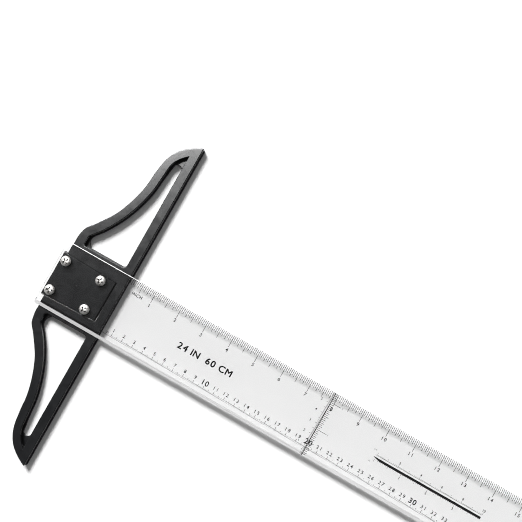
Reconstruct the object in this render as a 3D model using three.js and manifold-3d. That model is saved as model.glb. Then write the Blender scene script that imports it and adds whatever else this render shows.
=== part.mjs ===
// T-square with a clear plastic blade, a moulded head with two hand windows, and a tapered slide
// plate screwed under the blade. The plate is a dovetail: the head is pulled forward, along the
// blade, to take it off.
//
// Millimetres, +Z up. The origin is on the head's working face (the front of its base flange), on
// the centreline of the blade, half way up that flange. +X runs along the blade to its free end,
// +Y along the head towards the inch edge.

import * as THREE from 'three';
import { ConvexGeometry } from 'three/addons/geometries/ConvexGeometry.js';
import { mergeVertices } from 'three/addons/utils/BufferGeometryUtils.js';
import Module from 'manifold-3d';

// ---- driving dimensions ----
const FIT_GAP = 0.3; // between any two pieces that touch

// head
const HEAD_HALF_LENGTH = 156; // top face, blade centreline to tip
const FLANGE_THICKNESS = 2;
const BODY_HEIGHT = 6; // moulded body above the flange
const FLANGE_PROUD = 0.8; // flange beyond the body, outside and in the windows
const RAIL_WIDTH = 8; // straight front rail
const HEAD_BACK = -58.4;
const BRIDGE_HALF_WIDTH = 33.2; // solid centre that carries the blade
const BODY_TIP_RADIUS = 0.8;
const FLANGE_TIP_RADIUS = 3;
const RECESS_DEPTH = 5.5;

// blade
const BLADE_BACK = -62.7;
const BLADE_FRONT = 618;
const BLADE_HALF_WIDTH = 30;
const BLADE_THICKNESS = 3;
const BEVEL_WIDTH = 3;
const BEVEL_DROP = 1.6;
const BLADE_CORNER_RADIUS = 2;
const HANG_HOLE_RADIUS = 4;
const HANG_HOLE_X = 606;

// slide plate: tapered along X, dovetailed through its thickness
const PLATE_BACK = -61.6;
const PLATE_FRONT = -9.8;
const PLATE_HALF_WIDTH_BACK = 20.1;
const PLATE_HALF_WIDTH_FRONT = 18.4;
const DOVETAIL_FLARE = 1.2; // each side wider at the bottom than at the top
const RECESS_FRONT = -8.6;
const SIDE_CLEARANCE = 0.4;
const CUT_MARGIN = 6; // how far a cutter runs past the face it opens

// screws
const SCREW_X = [-21.2, -55.5];
const SCREW_Y = 14;
const SHANK_RADIUS = 2;
const SCREW_HEAD_RADIUS = 4.5;
const SCREW_HEAD_HEIGHT = 2.6;
const SCREW_TIP_CONE = 1.1;
const BLIND_HOLE_FLOOR = 0.9;
const CROSS_LENGTH = 4.4;
const CROSS_WIDTH = 1;
const CROSS_DEPTH = 1.3;

// ---- derived heights ----
const FLANGE_BOTTOM = -FLANGE_THICKNESS / 2;
const FLANGE_TOP = FLANGE_THICKNESS / 2;
const HEAD_TOP = FLANGE_TOP + BODY_HEIGHT;
const RECESS_FLOOR = HEAD_TOP - RECESS_DEPTH;
const BLADE_BOTTOM = HEAD_TOP + FIT_GAP;
const BLADE_TOP = BLADE_BOTTOM + BLADE_THICKNESS;
const PLATE_TOP = BLADE_BOTTOM - FIT_GAP;
const PLATE_BOTTOM = RECESS_FLOOR + FIT_GAP;
const SCREW_SEAT = BLADE_TOP + FIT_GAP;
const HOLE_RADIUS = SHANK_RADIUS + FIT_GAP;
const BLIND_HOLE_BOTTOM = PLATE_BOTTOM + BLIND_HOLE_FLOOR;
const SCREW_TIP = BLIND_HOLE_BOTTOM + FIT_GAP;
const BODY_FRONT = -FLANGE_PROUD;
const RAIL_INNER = BODY_FRONT - RAIL_WIDTH;

// ---- boolean helpers ----
const wasm = await Module();
wasm.setup();

function toSolid(geometry) {
  const bare = geometry.index ? geometry.toNonIndexed() : geometry.clone();
  bare.deleteAttribute('normal');
  bare.deleteAttribute('uv');
  const merged = mergeVertices(bare, 1e-4);
  return new wasm.Manifold(new wasm.Mesh({
    numProp: 3,
    vertProperties: merged.attributes.position.array,
    triVerts: new Uint32Array(merged.index.array),
  }));
}

function toGeometry(solid) {
  const { vertProperties, triVerts } = solid.getMesh();
  const geometry = new THREE.BufferGeometry();
  geometry.setAttribute('position', new THREE.BufferAttribute(vertProperties, 3));
  geometry.setIndex(new THREE.BufferAttribute(triVerts, 1));
  geometry.computeVertexNormals();
  return geometry;
}

// a flat outline pushed up from z = low to z = high
function slab(shape, low, high, curveSegments = 10) {
  const geometry = new THREE.ExtrudeGeometry(shape, {
    depth: high - low,
    bevelEnabled: false,
    curveSegments,
  });
  return toSolid(geometry.translate(0, 0, low));
}

// an upright round pin, used as a hole cutter
function pin(radius, x, y, low, high, segments = 24) {
  const geometry = new THREE.CylinderGeometry(radius, radius, high - low, segments);
  geometry.rotateX(Math.PI / 2);
  return toSolid(geometry.translate(x, y, (low + high) / 2));
}

// ---- outlines ----
const point = ([x, y]) => new THREE.Vector2(x, y);
const mirrored = ({ x, y }) => new THREE.Vector2(x, -y);

// moves each point of an open run sideways, to the left of its direction of travel
function shifted(points, distance) {
  return points.map((p, i) => {
    const before = points[Math.max(i - 1, 0)];
    const after = points[Math.min(i + 1, points.length - 1)];
    const along = after.clone().sub(before).normalize();
    return new THREE.Vector2(p.x - along.y * distance, p.y + along.x * distance);
  });
}

// back of the curved handle, from the tip to the straight back edge
const HANDLE_OUTER = [
  [-0.8, HEAD_HALF_LENGTH], [-10, 151], [-18.6, 143.6], [-24.6, 132.4], [-27.2, 118],
  [-28.8, 102], [-32.9, 86], [-39.6, 70], [-49.7, 55], [-56.2, 46.5], [HEAD_BACK, 37],
].map(point);

// window side of the curved handle, from the pointed end back to the bridge
const HANDLE_INNER = [
  [RAIL_INNER, 143.4], [-14.4, 137.4], [-18.3, 130], [-19.6, 118], [-21.2, 102],
  [-25.2, 86], [-31.4, 70], [-39.9, 55], [-47.2, 45.4],
].map(point);

// the whole plan of the head, grown by proud, with its two tips rounded
function headOutline(proud, tipRadius) {
  const front = BODY_FRONT + proud;
  const half = shifted(HANDLE_OUTER, -proud);
  const tip = half[0].y;
  half[0].lerp(half[1], tipRadius / half[0].distanceTo(half[1]));
  const other = half.map(mirrored).reverse();
  const outline = new THREE.Shape();
  outline.moveTo(front, tip - tipRadius);
  outline.quadraticCurveTo(front, tip, half[0].x, half[0].y);
  outline.splineThru(half.slice(1));
  outline.lineTo(other[0].x, other[0].y);
  outline.splineThru(other.slice(1));
  outline.quadraticCurveTo(front, -tip, front, tipRadius - tip);
  outline.closePath();
  return outline;
}

// One window for y > 0. The body's window runs to a point at the tip; the flange's is shorter
// there and has rounder corners, so it leaves a small web across each corner.
function bodyWindow() {
  const wall = HANDLE_INNER;
  const cornerRadius = 3;
  const window = new THREE.Shape();
  window.moveTo(wall[0].x, wall[0].y);
  window.splineThru(wall.slice(1));
  window.lineTo(-50, 42);
  window.lineTo(-50, BRIDGE_HALF_WIDTH + 1.2);
  window.lineTo(-48.8, BRIDGE_HALF_WIDTH);
  window.lineTo(RAIL_INNER - cornerRadius, BRIDGE_HALF_WIDTH);
  window.absarc(RAIL_INNER - cornerRadius, BRIDGE_HALF_WIDTH + cornerRadius, cornerRadius,
    -Math.PI / 2, 0, false);
  window.closePath();
  return window;
}

function flangeWindow() {
  const wall = shifted(HANDLE_INNER.slice(2), FLANGE_PROUD);
  const rail = RAIL_INNER - FLANGE_PROUD;
  const bridge = BRIDGE_HALF_WIDTH + FLANGE_PROUD;
  const tipRadius = 4;
  const cornerRadius = 3.4;
  const window = new THREE.Shape();
  window.moveTo(rail, 129.6);
  window.absarc(rail - tipRadius, 129.6, tipRadius, 0, Math.PI * 0.8, false);
  window.splineThru(wall.slice(1));
  window.quadraticCurveTo(-51, 39.5, -44.5, bridge);
  window.lineTo(rail - cornerRadius, bridge);
  window.absarc(rail - cornerRadius, bridge + cornerRadius, cornerRadius,
    -Math.PI / 2, 0, false);
  window.closePath();
  return window;
}

// the dovetail block: a tapered plate, also used larger as the cutter of its own recess
function dovetail(back, front, widen, low, high) {
  const taper = (PLATE_HALF_WIDTH_BACK - PLATE_HALF_WIDTH_FRONT) / (PLATE_FRONT - PLATE_BACK);
  const flare = DOVETAIL_FLARE / (PLATE_TOP - PLATE_BOTTOM);
  const corners = [];
  for (const x of [back, front]) {
    for (const z of [low, high]) {
      const atTop = PLATE_HALF_WIDTH_FRONT + taper * (PLATE_FRONT - x);
      const half = atTop + flare * (PLATE_TOP - z) + widen;
      corners.push(new THREE.Vector3(x, half, z));
      corners.push(new THREE.Vector3(x, -half, z));
    }
  }
  return toSolid(new ConvexGeometry(corners));
}

// ---- pieces ----
function makeHead() {
  const body = slab(headOutline(0, BODY_TIP_RADIUS), 0, HEAD_TOP);
  const flange = slab(headOutline(FLANGE_PROUD, FLANGE_TIP_RADIUS), FLANGE_BOTTOM, FLANGE_TOP);
  const bodyCut = slab(bodyWindow(), FLANGE_TOP, HEAD_TOP + CUT_MARGIN);
  const flangeCut = slab(flangeWindow(), FLANGE_BOTTOM - CUT_MARGIN, HEAD_TOP);
  const recess = dovetail(HEAD_BACK - CUT_MARGIN, RECESS_FRONT, SIDE_CLEARANCE,
    RECESS_FLOOR, HEAD_TOP + 0.5);
  let head = body.add(flange);
  head = head.subtract(bodyCut).subtract(flangeCut);
  head = head.subtract(bodyCut.mirror([0, 1, 0])).subtract(flangeCut.mirror([0, 1, 0]));
  return toGeometry(head.subtract(recess));
}

function makeBlade() {
  const edge = BLADE_TOP - BEVEL_DROP;
  const section = new THREE.Shape([
    [-BLADE_HALF_WIDTH, BLADE_BOTTOM], [BLADE_HALF_WIDTH, BLADE_BOTTOM],
    [BLADE_HALF_WIDTH, edge], [BLADE_HALF_WIDTH - BEVEL_WIDTH, BLADE_TOP],
    [BEVEL_WIDTH - BLADE_HALF_WIDTH, BLADE_TOP], [-BLADE_HALF_WIDTH, edge],
  ].map(point));
  const bar = new THREE.ExtrudeGeometry(section, {
    depth: BLADE_FRONT - BLADE_BACK,
    bevelEnabled: false,
  });
  // section x, y, depth become Y, Z, X
  const turn = new THREE.Matrix4().makeBasis(
    new THREE.Vector3(0, 1, 0), new THREE.Vector3(0, 0, 1), new THREE.Vector3(1, 0, 0));
  bar.applyMatrix4(turn).translate(BLADE_BACK, 0, 0);

  const r = BLADE_CORNER_RADIUS;
  const plan = new THREE.Shape();
  plan.absarc(BLADE_FRONT - r, BLADE_HALF_WIDTH - r, r, 0, Math.PI / 2, false);
  plan.absarc(BLADE_BACK + r, BLADE_HALF_WIDTH - r, r, Math.PI / 2, Math.PI, false);
  plan.absarc(BLADE_BACK + r, r - BLADE_HALF_WIDTH, r, Math.PI, Math.PI * 1.5, false);
  plan.absarc(BLADE_FRONT - r, r - BLADE_HALF_WIDTH, r, Math.PI * 1.5, Math.PI * 2, false);

  let blade = toSolid(bar).intersect(slab(plan, BLADE_BOTTOM - 1, BLADE_TOP + 1, 6));
  for (const { x, y } of screwPlaces()) {
    blade = blade.subtract(pin(HOLE_RADIUS, x, y, BLADE_BOTTOM - 1, BLADE_TOP + 1));
  }
  const hang = pin(HANG_HOLE_RADIUS, HANG_HOLE_X, 0, BLADE_BOTTOM - 1, BLADE_TOP + 1, 32);
  return toGeometry(blade.subtract(hang));
}

function makePlate() {
  let plate = dovetail(PLATE_BACK, PLATE_FRONT, 0, PLATE_BOTTOM, PLATE_TOP);
  for (const { x, y } of screwPlaces()) {
    plate = plate.subtract(pin(HOLE_RADIUS, x, y, BLIND_HOLE_BOTTOM, PLATE_TOP + 1));
  }
  return toGeometry(plate);
}

function screwPlaces() {
  const places = [];
  for (const [row, x] of SCREW_X.entries()) {
    for (const side of [1, -1]) {
      const name = `screw_${row ? 'back' : 'front'}_${side > 0 ? 'inch' : 'cm'}_side`;
      places.push({ name, x, y: side * SCREW_Y });
    }
  }
  return places;
}

// pan head with a cross recess; z = 0 is the underside of the head
function makeScrew() {
  const shankLength = SCREW_SEAT - SCREW_TIP;
  const profile = [
    [0, -shankLength],
    [SHANK_RADIUS, SCREW_TIP_CONE - shankLength],
    [SHANK_RADIUS, 0],
    [SCREW_HEAD_RADIUS, 0],
    [SCREW_HEAD_RADIUS, SCREW_HEAD_HEIGHT * 0.4],
  ].map(point);
  const domeSteps = 5;
  for (let i = 1; i <= domeSteps; i++) {
    const angle = (Math.PI / 2) * (i / domeSteps);
    const radius = SCREW_HEAD_RADIUS * Math.cos(angle);
    const z = SCREW_HEAD_HEIGHT * (0.4 + 0.6 * Math.sin(angle));
    profile.push(new THREE.Vector2(i === domeSteps ? 0 : radius, z));
  }
  const turned = new THREE.LatheGeometry(profile, 24);
  turned.rotateX(Math.PI / 2);
  let screw = toSolid(turned);
  for (const [sx, sy] of [[CROSS_LENGTH, CROSS_WIDTH], [CROSS_WIDTH, CROSS_LENGTH]]) {
    const slot = new THREE.BoxGeometry(sx, sy, 2 * CROSS_DEPTH);
    screw = screw.subtract(toSolid(slot.translate(0, 0, SCREW_HEAD_HEIGHT)));
  }
  return toGeometry(screw);
}

// ---- assembly ----
function mesh(name, geometry, colour, roughness, metalness) {
  const material = new THREE.MeshStandardMaterial({ color: colour, roughness, metalness });
  const piece = new THREE.Mesh(geometry, material);
  piece.name = name;
  return piece;
}

const bladeUnit = new THREE.Group();
const bladeMesh = mesh('blade', makeBlade(), 0xf2f4f4, 0.05, 0);
bladeMesh.material.transparent = true;
bladeMesh.material.opacity = 0.35;
bladeUnit.add(bladeMesh);
bladeUnit.add(mesh('slide_plate', makePlate(), 0x26272a, 0.4, 0));
for (const { name, x, y } of screwPlaces()) {
  const screw = mesh(name, makeScrew(), 0xc9ccd0, 0.2, 1);
  screw.position.set(x, y, SCREW_SEAT);
  bladeUnit.add(screw);
}

const tSquare = new THREE.Group();
tSquare.add(mesh('head', makeHead(), 0x232427, 0.4, 0));
tSquare.add(bladeUnit);

export default tSquare;
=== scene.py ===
"""T-square with a clear acrylic blade, a moulded black head and a dovetail plate under the blade.

Run as a script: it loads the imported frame, registers the classes below, calls each operator in
order and sets up the studio. Shapes are worked out in millimetres in the object's own frame, with
+X along the blade, +Y towards the inch edge and +Z up, and are scaled to metres as they are made.
"""
import math

import bmesh
import bpy
from bpy.props import FloatProperty, FloatVectorProperty, IntProperty, PointerProperty, StringProperty
from mathutils import Matrix, Vector


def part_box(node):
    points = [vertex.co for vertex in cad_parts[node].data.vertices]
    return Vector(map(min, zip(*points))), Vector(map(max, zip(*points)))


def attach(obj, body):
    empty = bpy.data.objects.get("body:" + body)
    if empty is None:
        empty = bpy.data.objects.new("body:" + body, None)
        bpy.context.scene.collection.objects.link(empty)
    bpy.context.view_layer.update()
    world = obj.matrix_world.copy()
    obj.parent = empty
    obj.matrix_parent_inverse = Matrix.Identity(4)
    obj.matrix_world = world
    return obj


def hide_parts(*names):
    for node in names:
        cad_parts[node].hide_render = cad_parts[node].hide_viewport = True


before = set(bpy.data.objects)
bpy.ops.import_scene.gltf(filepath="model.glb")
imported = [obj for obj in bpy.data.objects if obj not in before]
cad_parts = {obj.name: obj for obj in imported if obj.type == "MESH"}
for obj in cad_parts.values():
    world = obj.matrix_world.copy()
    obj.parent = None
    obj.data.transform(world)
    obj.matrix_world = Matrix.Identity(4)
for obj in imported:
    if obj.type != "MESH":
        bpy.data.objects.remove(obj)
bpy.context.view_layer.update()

bl_info = {
    "name": "T-square",
    "version": (1, 0, 0),
    "blender": (4, 5, 0),
    "location": "3D View > Sidebar > T-square",
    "description": "Builds a drawing T-square, its printed scales and a small studio",
    "category": "Add Mesh",
}

MM = 0.001
INCH = 25.4
BLADE_BODY = "blade_unit"
HEAD_BODY = "head"


def box_mm(node):
    """Lowest and highest corner of a node of the frame, in millimetres."""
    low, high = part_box(node)
    return low / MM, high / MM


HEAD_LOW, HEAD_HIGH = box_mm("head")
BLADE_LOW, BLADE_HIGH = box_mm("blade")
PLATE_LOW, PLATE_HIGH = box_mm("slide_plate")
SCREW_NODES = [node for node in sorted(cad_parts) if node.startswith("screw_")]
# How far a cutter runs past the face it cuts, so that the two never coincide.
PAST_FACE = 1.0

# ---- head ----
FLANGE_THICKNESS = 2.0
FLANGE_PROUD = 0.8
FLANGE_TOP = HEAD_LOW.z + FLANGE_THICKNESS
BODY_FRONT = HEAD_HIGH.x - FLANGE_PROUD
# The body starts this far up inside the flange, so that the two join over a height.
BODY_SUNK = 1.0
RAIL_WIDTH = 8.0
RAIL_INNER = BODY_FRONT - RAIL_WIDTH
BRIDGE_HALF_WIDTH = 33.2
HANDLE_OUTER = [
    (BODY_FRONT, 156), (-10, 151), (-18.6, 143.6), (-24.6, 132.4), (-27.2, 118),
    (-28.8, 102), (-32.9, 86), (-39.6, 70), (-49.7, 55), (-56.2, 46.5), (-58.4, 37),
]
HANDLE_INNER = [
    (RAIL_INNER, 143.4), (-14.4, 137.4), (-18.3, 130), (-19.6, 118), (-21.2, 102),
    (-25.2, 86), (-31.4, 70), (-39.9, 55), (-47.2, 45.4),
]
BODY_TIP_RADIUS = 0.8
FLANGE_TIP_RADIUS = 3.0
BODY_CORNER_RADIUS = 3.0
FLANGE_CORNER_RADIUS = 3.4
# Rounded tip of the flange's window: radius, and how far across its centre is.
FLANGE_WINDOW_TIP = (4.0, 129.6)
RECESS_DEPTH = 5.5
RECESS_FRONT = -8.6
RECESS_CLEARANCE = 0.4
RECESS_LIP = 0.25

# ---- blade ----
BLADE_HALF_WIDTH = BLADE_HIGH.y
BEVEL_WIDTH = 3.0
BEVEL_DROP = 1.6
HANG_HOLE_X = BLADE_HIGH.x - 12.0
# The strip along the plain edge bends the lamp's light away, so it throws a shadow.
EDGE_STRIP = -25.2
# Outermost part of the slope on the inch side, left matt by the scraper.
SCRAPED_STRIP = 29.4
# Material slots of the blade.
POLISHED, GROUND, BUFFED, BESIDE_GROUND = range(4)

# ---- slide plate ----
PLATE_HALF_WIDTH_BACK = 20.1
PLATE_HALF_WIDTH_FRONT = 18.4
PLATE_ROUND_OFF = 0.45
DOVETAIL_FLARE = 1.2
HOLE_FLOOR_THICKNESS = 0.9
# Rings round the moulding gate: (radius, half width of the groove).
GATE_RINGS = ((4.3, 0.45), (2.1, 0.4))
GATE_GROOVE_DEPTH = 0.16

# ---- screws ----
SHANK_RADIUS = 2.0
HOLE_RADIUS = 2.3
SCREW_HEAD_RADIUS = 4.5
SCREW_HEAD_HEIGHT = 2.6
SCREW_HEAD_RIM = 0.22
SCREW_POINT_LENGTH = 1.6
THREAD_RUN_OUT = 0.8
DRIVER_TURNS = (14, -33, 62, -8)

# Sunk features turned about an upright axis: (radius, height above the face they start from).
GATE_PIP = ((0.15, -0.5), (0.6, -0.35), (0.75, 0.5))
RECESS_CUP = ((0.5, -1.75), (1.05, -0.9), (1.3, 0.5))
# An arm of the cross recess: (half length, half width, height above the top of the dome).
CROSS_ARM = ((3.1, 0.8, 0.6), (2.8, 0.74, -0.25), (1.3, 0.45, -1.6))

# ---- print ----
# The film stands this far off the acrylic, so that the two faces never flicker together.
INK_GAP = 0.004
SCALE_INCHES = 24
SCALE_CENTIMETRES = 60
LEGEND_AT = (89.5, -0.2)
LEGEND_HEIGHT = 5.5

# ---- studio, in metres unless it says otherwise ----
VIEW_CENTRE_MM = (126.41, 75.88)
# Direction, seen from above, in which the camera leans off the vertical.
VIEW_LEAN = (0.935, -0.355)
FLOOR_REACH_MM = 20000.0
FLOOR_GAP_MM = 0.05
KEY_FROM = (-1.41, 1.2, 1.84)
SHEEN_FROM = (-0.5, 0.5, 1.3)
SHEEN_AT = (0.0, 0.1, 0.0)
SHEEN_SIZE = 0.45


# ---------------------------------------------------------------- outlines, in the plane
def vectors(points):
    """Plain pairs as 2D vectors."""
    return [Vector(p) for p in points]


def smooth_run(points, steps=10):
    """A smooth curve through the points, with so many steps between two of them."""
    last = len(points) - 1
    run = []
    for i in range(last):
        start, end = points[i], points[i + 1]
        leave = (end - points[max(i - 1, 0)]) / 2
        arrive = (points[min(i + 2, last)] - start) / 2
        for k in range(steps):
            t = k / steps
            square = 3 * (end - start) - 2 * leave - arrive
            cube = 2 * (start - end) + leave + arrive
            run.append(start + leave * t + square * t ** 2 + cube * t ** 3)
    run.append(points[-1].copy())
    return run


def bend(start, control, end, steps=8):
    """A quadratic curve from start to end, drawn towards the control point."""
    run = []
    for k in range(steps + 1):
        t = k / steps
        run.append(start * (1 - t) ** 2 + control * 2 * t * (1 - t) + end * t ** 2)
    return run


def arc(x, y, radius, start, end, steps=10):
    """Points on a circle between two angles in degrees."""
    run = []
    for k in range(steps + 1):
        angle = math.radians(start + (end - start) * k / steps)
        run.append(Vector((x + radius * math.cos(angle), y + radius * math.sin(angle))))
    return run


def shifted(points, distance):
    """An open run moved sideways, to the left of its direction of travel."""
    moved = []
    for i, p in enumerate(points):
        along = points[min(i + 1, len(points) - 1)] - points[max(i - 1, 0)]
        along.normalize()
        moved.append(Vector((p.x - along.y * distance, p.y + along.x * distance)))
    return moved


def closed(points, least=0.02):
    """The loop without points that coincide."""
    loop = []
    for p in points:
        if not loop or (p - loop[-1]).length > least:
            loop.append(p)
    if (loop[0] - loop[-1]).length <= least:
        loop.pop()
    return loop


def inset(loop, distance):
    """A closed counter-clockwise loop moved inwards, with mitred corners."""
    moved = []
    for i, p in enumerate(loop):
        before = (p - loop[i - 1]).normalized()
        after = (loop[(i + 1) % len(loop)] - p).normalized()
        left = Vector((-before.y, before.x))
        next_left = Vector((-after.y, after.x))
        reach = max(1 + left.dot(next_left), 0.4)
        moved.append(p + (left + next_left) * (distance / reach))
    return moved


def mirrored(points):
    """The same loop on the other side of the blade, still counter-clockwise."""
    return [Vector((p.x, -p.y)) for p in reversed(points)]


def head_outline(proud, tip_radius):
    """Plan of the head, grown by proud, with its two tips rounded."""
    front = BODY_FRONT + proud
    half = shifted(vectors(HANDLE_OUTER), -proud)
    tip = half[0].y
    step = half[1] - half[0]
    half[0] = half[0] + step * (tip_radius / step.length)
    upper = bend(Vector((front, tip - tip_radius)), Vector((front, tip)), half[0])
    upper += smooth_run(half)
    return closed(upper + mirrored(upper))


def body_window():
    """Window of the body on the inch side: it runs to a narrow tip beside the rail."""
    loop = smooth_run(vectors(HANDLE_INNER))
    loop += vectors([(-50, 42), (-50, BRIDGE_HALF_WIDTH + 1.2), (-48.8, BRIDGE_HALF_WIDTH)])
    radius = BODY_CORNER_RADIUS
    loop += arc(RAIL_INNER - radius, BRIDGE_HALF_WIDTH + radius, radius, -90, 0)
    return closed(loop)


def flange_window():
    """Window of the flange: shorter, with rounder corners, so it leaves a web in each corner."""
    rail = RAIL_INNER - FLANGE_PROUD
    bridge = BRIDGE_HALF_WIDTH + FLANGE_PROUD
    wall = shifted(vectors(HANDLE_INNER[2:]), FLANGE_PROUD)
    tip_radius, tip_y = FLANGE_WINDOW_TIP
    tip = arc(rail - tip_radius, tip_y, tip_radius, 0, 144)
    loop = tip + smooth_run([tip[-1]] + wall[1:])
    loop += bend(wall[-1], Vector((-51, 39.5)), Vector((-44.5, bridge)))
    radius = FLANGE_CORNER_RADIUS
    loop += arc(rail - radius, bridge + radius, radius, -90, 0)
    return closed(loop)


# ---------------------------------------------------------------- meshes
def new_piece(name, shape):
    """An object in the scene from a bmesh in millimetres."""
    bmesh.ops.scale(shape, vec=(MM, MM, MM), verts=shape.verts)
    mesh = bpy.data.meshes.new(name)
    shape.to_mesh(mesh)
    shape.free()
    piece = bpy.data.objects.new(name, mesh)
    bpy.context.scene.collection.objects.link(piece)
    return piece


def join_rings(shape, low, high, flip=False):
    """Faces between two rings of as many points, low and high."""
    for i, corner in enumerate(low):
        j = (i + 1) % len(low)
        face = [corner, low[j], high[j], high[i]]
        shape.faces.new(reversed(face) if flip else face)


def fill_rims(shape, rims):
    """A flat face over an outer rim and its holes."""
    edges = [shape.edges.get((rim[i - 1], rim[i])) for rim in rims for i in range(len(rim))]
    bmesh.ops.triangle_fill(shape, use_beauty=True, edges=edges)


def slab(outer, holes, profile):
    """A plate with holes. The profile lists (inset, height) steps of its edges, going up."""
    shape = bmesh.new()
    bottom, top = [], []
    for loop, side in [(outer, 1)] + [(hole, -1) for hole in holes]:
        rings = []
        for depth, z in profile:
            rings.append([shape.verts.new((p.x, p.y, z)) for p in inset(loop, side * depth)])
        for low, high in zip(rings, rings[1:]):
            join_rings(shape, low, high, side < 0)
        bottom.append(rings[0])
        top.append(rings[-1])
    fill_rims(shape, bottom)
    fill_rims(shape, top)
    bmesh.ops.recalc_face_normals(shape, faces=shape.faces)
    return shape


def rounded_profile(low, high, low_radius, high_radius, steps=5):
    """Edge profile of a slab with a rounded upper edge, and a lower one unless its radius is 0."""
    profile = []
    for k in range(steps + 1 if low_radius else 1):
        turn = math.pi / 2 * k / steps
        profile.append((low_radius * (1 - math.sin(turn)), low + low_radius * (1 - math.cos(turn))))
    for k in range(steps + 1):
        turn = math.pi / 2 * k / steps
        profile.append((high_radius * (1 - math.cos(turn)), high - high_radius * (1 - math.sin(turn))))
    return profile


def turned(profile, sides=48, x=0.0, y=0.0):
    """A solid of revolution about an upright axis. The profile lists (radius, height), going up."""
    shape = bmesh.new()
    rings = []
    for radius, z in profile:
        circle = arc(x, y, radius, 0, 360, sides)[:-1]
        rings.append([shape.verts.new((p.x, p.y, z)) for p in circle])
    for low, high in zip(rings, rings[1:]):
        join_rings(shape, low, high)
    shape.faces.new(reversed(rings[0]))
    shape.faces.new(rings[-1])
    return shape


def lofted(levels):
    """A closed block through flat loops of as many points, going up. A level is (points, height)."""
    shape = bmesh.new()
    rings = []
    for points, z in levels:
        rings.append([shape.verts.new((p[0], p[1], z)) for p in points])
    for low, high in zip(rings, rings[1:]):
        join_rings(shape, low, high)
    shape.faces.new(reversed(rings[0]))
    shape.faces.new(rings[-1])
    bmesh.ops.recalc_face_normals(shape, faces=shape.faces)
    return shape


def combine(piece, shape, operation):
    """Joins or cuts a piece with a shape in millimetres, exactly."""
    other = new_piece("tool", shape)
    step = piece.modifiers.new(operation.lower(), "BOOLEAN")
    step.object = other
    step.operation = operation
    step.solver = "EXACT"
    apply_modifiers(piece)
    tool_mesh = other.data
    bpy.data.objects.remove(other)
    bpy.data.meshes.remove(tool_mesh)
    if not piece.data.polygons:
        raise RuntimeError(f"{piece.name} was lost in a {operation} step")


def apply_modifiers(piece):
    """Replaces the piece's mesh with what its modifiers make of it."""
    view = bpy.context.evaluated_depsgraph_get()
    result = bpy.data.meshes.new_from_object(piece.evaluated_get(view))
    before = piece.data
    piece.modifiers.clear()
    piece.data = result
    result.name = piece.name
    bpy.data.meshes.remove(before)


def raised(profile, z):
    """A profile of (radius, height) pairs moved up to start from z."""
    return [(radius, z + height) for radius, height in profile]


def finish_surface(piece, sharp_degrees=35.0):
    """Smooth shading with crisp edges, and level faces that are lit as level to their rims."""
    weld, least_edge, level = 0.002 * MM, 0.001 * MM, 0.9999
    shape = bmesh.new()
    shape.from_mesh(piece.data)
    bmesh.ops.remove_doubles(shape, verts=shape.verts, dist=weld)
    bmesh.ops.dissolve_degenerate(shape, edges=shape.edges, dist=least_edge)
    bmesh.ops.recalc_face_normals(shape, faces=shape.faces)
    shape.to_mesh(piece.data)
    shape.free()
    piece.data.shade_smooth()
    piece.data.set_sharp_from_angle(angle=math.radians(sharp_degrees))
    weighting = piece.modifiers.new("normals", "WEIGHTED_NORMAL")
    weighting.keep_sharp = True
    apply_modifiers(piece)
    normals = [corner.vector.copy() for corner in piece.data.corner_normals]
    for face in piece.data.polygons:
        if abs(face.normal.z) > level:
            for corner in face.loop_indices:
                normals[corner] = face.normal.copy()
    piece.data.normals_split_custom_set(normals)


def settle(piece, body, slot, material, *nodes):
    """Gives a piece its material and body, and hides the nodes it stands for. The slot is not used."""
    piece.data.materials.clear()
    piece.data.materials.append(material)
    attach(piece, body)
    if nodes:
        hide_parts(*nodes)


# ---------------------------------------------------------------- materials
def linear(hex_colour):
    """An sRGB hex colour as linear red, green, blue and alpha."""
    channels = []
    for i in (1, 3, 5):
        value = int(hex_colour[i:i + 2], 16) / 255
        channels.append(value / 12.92 if value <= 0.04045 else ((value + 0.055) / 1.055) ** 2.4)
    return (*channels, 1.0)


def per_metre(millimetres):
    """Texture scale that gives a pattern this many millimetres across."""
    return 1 / (millimetres * MM)


def add_node(tree, kind, values=None, links=None, **settings):
    """Adds a node with its settings, its input values and the sockets linked to its inputs."""
    made = tree.nodes.new(kind)
    for name, value in settings.items():
        setattr(made, name, value)
    for socket, value in (values or {}).items():
        made.inputs[socket].default_value = value
    for socket, source in (links or {}).items():
        tree.links.new(source, made.inputs[socket])
    return made


def new_material(name):
    """An empty node material, its tree, and object coordinates in metres."""
    material = bpy.data.materials.new(name)
    material.use_nodes = True
    tree = material.node_tree
    tree.nodes.clear()
    place = add_node(tree, "ShaderNodeTexCoord").outputs["Object"]
    return material, tree, place


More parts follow.
